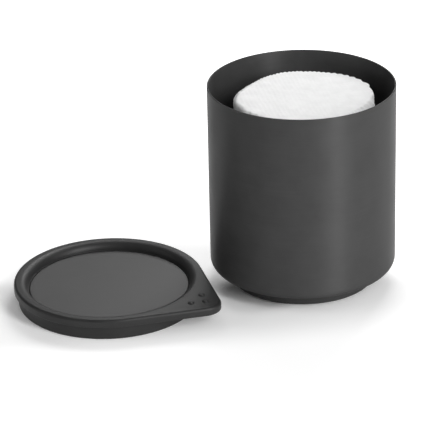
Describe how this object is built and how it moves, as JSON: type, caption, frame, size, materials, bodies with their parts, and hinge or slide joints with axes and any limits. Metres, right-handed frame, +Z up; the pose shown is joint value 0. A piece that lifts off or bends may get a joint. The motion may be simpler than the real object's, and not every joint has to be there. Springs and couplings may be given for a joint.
{
  "type": "cotton pad holder",
  "caption": "Round steel pot on a smaller plinth for a stack of cotton pads, with a plug-in lid that has a recessed top and a pull tab.",
  "frame": {"origin": "centre of the rubber foot's underside, on the table, on the axis of the pot", "axes": "+Z up along the pot's axis, out of its mouth; +X to the right and -Y to the front as pictured, with the lid lying at -X"},
  "size_m": [0.1581, 0.096, 0.0858],
  "materials": {
    "sleeve_coat": "fine matt powder coat on steel, charcoal",
    "base_plastic": "matt moulded plastic, dark charcoal",
    "foot_rubber": "matt rubber",
    "lid_plastic": "fine satin texture, charcoal",
    "disc_plastic": "fine matt texture, charcoal",
    "cotton": "soft white cotton with pressed diagonal ribs"
  },
  "bodies": {
    "pot": {"pot_sleeve": "sleeve_coat", "base_moulding": "base_plastic", "non_slip_foot": "foot_rubber"},
    "lid": {"lid_moulding": "lid_plastic", "lid_inset_disc": "disc_plastic"},
    "pad_stack": {"cotton_pad_01": "cotton", "cotton_pad_02": "cotton", "cotton_pad_03": "cotton", "cotton_pad_04": "cotton", "cotton_pad_05": "cotton", "cotton_pad_06": "cotton", "cotton_pad_07": "cotton", "cotton_pad_08": "cotton", "cotton_pad_09": "cotton", "cotton_pad_10": "cotton", "cotton_pad_11": "cotton", "cotton_pad_12": "cotton", "cotton_pad_13": "cotton", "cotton_pad_14": "cotton"},
    "top_pad": {"cotton_pad_15": "cotton"}
  },
  "joints": [
    {"name": "lid_lift", "type": "slide", "parent": "pot", "child": "lid", "axis": [0, 0, 1], "range_m": [0, 0.1]},
    {"name": "pad_stack_lift", "type": "slide", "parent": "pot", "child": "pad_stack", "axis": [0, 0, 1], "range_m": [0, 0.085]},
    {"name": "top_pad_lift", "type": "slide", "parent": "pad_stack", "child": "top_pad", "axis": [0, 0, 1], "range_m": [0, 0.04]}
  ]
}
